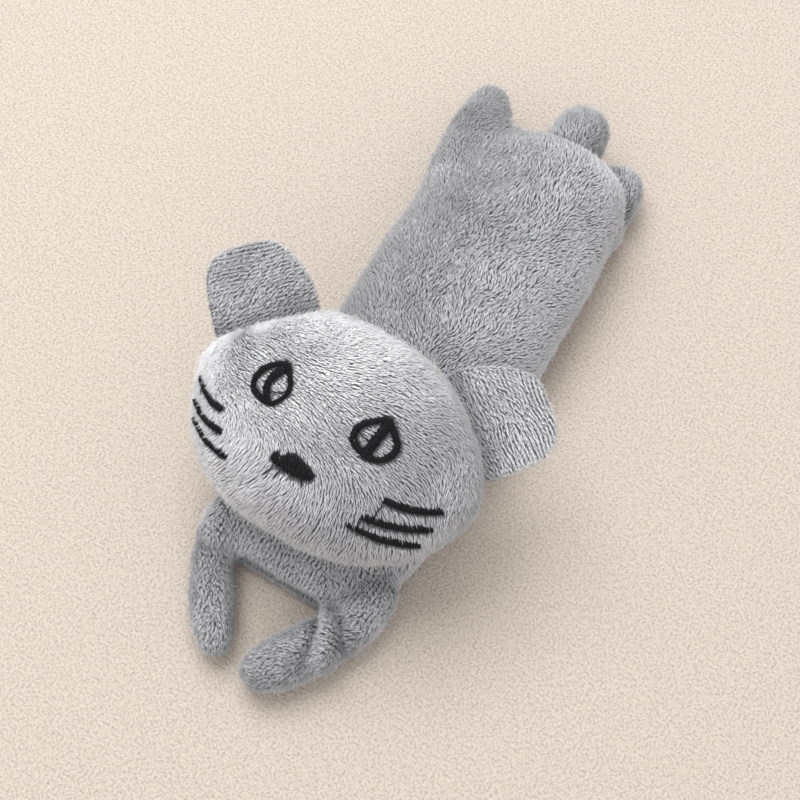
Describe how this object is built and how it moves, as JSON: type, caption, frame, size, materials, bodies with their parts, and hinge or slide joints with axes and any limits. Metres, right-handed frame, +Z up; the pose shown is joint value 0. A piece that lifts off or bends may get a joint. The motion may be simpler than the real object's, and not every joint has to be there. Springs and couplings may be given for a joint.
{
  "type": "plush dog toy",
  "caption": "Soft plush animal lying on its belly, with a flat round head, a stitched face, fold-over ears, swinging limbs and a squeaker inside.",
  "frame": {"origin": "under the middle of the toy's box, on the surface it lies on", "axes": "+Z up, the toy faces -Y, its own left side is +X"},
  "size_m": [0.1136, 0.2206, 0.066],
  "materials": {
    "plush": "short-pile grey plush",
    "ear_plush": "short-pile grey plush combed in lines",
    "embroidery": "black satin stitch",
    "seam_thread": "grey sewing thread",
    "filling": "white polyester fibre",
    "squeaker": "soft moulded"
  },
  "bodies": {
    "torso": {"back_panel": "plush", "belly_panel": "plush", "body_stuffing_upper": "filling", "body_stuffing_lower": "filling", "squeaker_cup": "squeaker", "squeaker_reed_tube": "squeaker", "squeaker_reed": "squeaker"},
    "squeaker_top": {"squeaker_dome": "squeaker"},
    "neck": {"neck_stitches": "seam_thread"},
    "head": {"face_panel": "plush", "head_back_panel": "plush", "head_stuffing": "filling", "right_eye_outline": "embroidery", "right_eye_pupil": "embroidery", "right_whisker_1": "embroidery", "right_whisker_2": "embroidery", "right_whisker_3": "embroidery", "left_eye_outline": "embroidery", "left_eye_pupil": "embroidery", "left_whisker_1": "embroidery", "left_whisker_2": "embroidery", "left_whisker_3": "embroidery", "nose": "embroidery"},
    "right_ear": {"right_ear_front": "ear_plush", "right_ear_back": "plush"},
    "right_arm": {"right_arm_sleeve": "plush", "right_arm_stuffing": "filling"},
    "right_leg": {"right_leg_sleeve": "plush", "right_leg_stuffing": "filling"},
    "left_ear": {"left_ear_front": "ear_plush", "left_ear_back": "plush"},
    "left_arm": {"left_arm_sleeve": "plush", "left_arm_stuffing": "filling"},
    "left_leg": {"left_leg_sleeve": "plush", "left_leg_stuffing": "filling"},
    "tail": {"tail_sleeve": "plush", "tail_stuffing": "filling"}
  },
  "joints": [
    {"name": "head_nod", "type": "hinge", "parent": "torso", "child": "neck", "pos_m": [0, -0.01967, 0.03022], "axis": [-1, 0, 0], "range_deg": [0, 25]},
    {"name": "head_turn", "type": "hinge", "parent": "neck", "child": "head", "pos_m": [0, -0.02966, 0.02559], "axis": [0, -0.3788, 0.9255], "range_deg": [-15, 15], "stiffness_Nm_per_rad": 0.03},
    {"name": "squeaker_press", "type": "slide", "parent": "torso", "child": "squeaker_top", "axis": [0, 0, -1], "range_m": [0, 0.004], "stiffness_N_per_m": 300},
    {"name": "tail_wag", "type": "hinge", "parent": "torso", "child": "tail", "pos_m": [0.0107, 0.09034, 0.02072], "axis": [0, 0, 1], "range_deg": [-18, 18], "stiffness_Nm_per_rad": 0.01},
    {"name": "right_ear_fold", "type": "hinge", "parent": "head", "child": "right_ear", "pos_m": [-0.03657, -0.01704, 0.04913], "axis": [0.766, 0.5949, 0.2435], "range_deg": [-20, 20], "stiffness_Nm_per_rad": 0.01},
    {"name": "right_arm_swing", "type": "hinge", "parent": "torso", "child": "right_arm", "pos_m": [-0.0193, -0.06866, 0.008], "axis": [0, 0, -1], "range_deg": [-2, 30], "stiffness_Nm_per_rad": 0.01},
    {"name": "right_leg_swing", "type": "hinge", "parent": "torso", "child": "right_leg", "pos_m": [-0.0183, 0.08734, 0.013], "axis": [0, 0, 1], "range_deg": [-6, 15], "stiffness_Nm_per_rad": 0.01},
    {"name": "left_ear_fold", "type": "hinge", "parent": "head", "child": "left_ear", "pos_m": [0.03657, -0.01704, 0.04913], "axis": [0.766, -0.5949, -0.2435], "range_deg": [-20, 20], "stiffness_Nm_per_rad": 0.01},
    {"name": "left_arm_swing", "type": "hinge", "parent": "torso", "child": "left_arm", "pos_m": [0.0327, -0.06866, 0.008], "axis": [0, 0, 1], "range_deg": [-2, 30], "stiffness_Nm_per_rad": 0.01},
    {"name": "left_leg_swing", "type": "hinge", "parent": "torso", "child": "left_leg", "pos_m": [0.0317, 0.08734, 0.01], "axis": [0, 0, -1], "range_deg": [-6, 15], "stiffness_Nm_per_rad": 0.01}
  ]
}
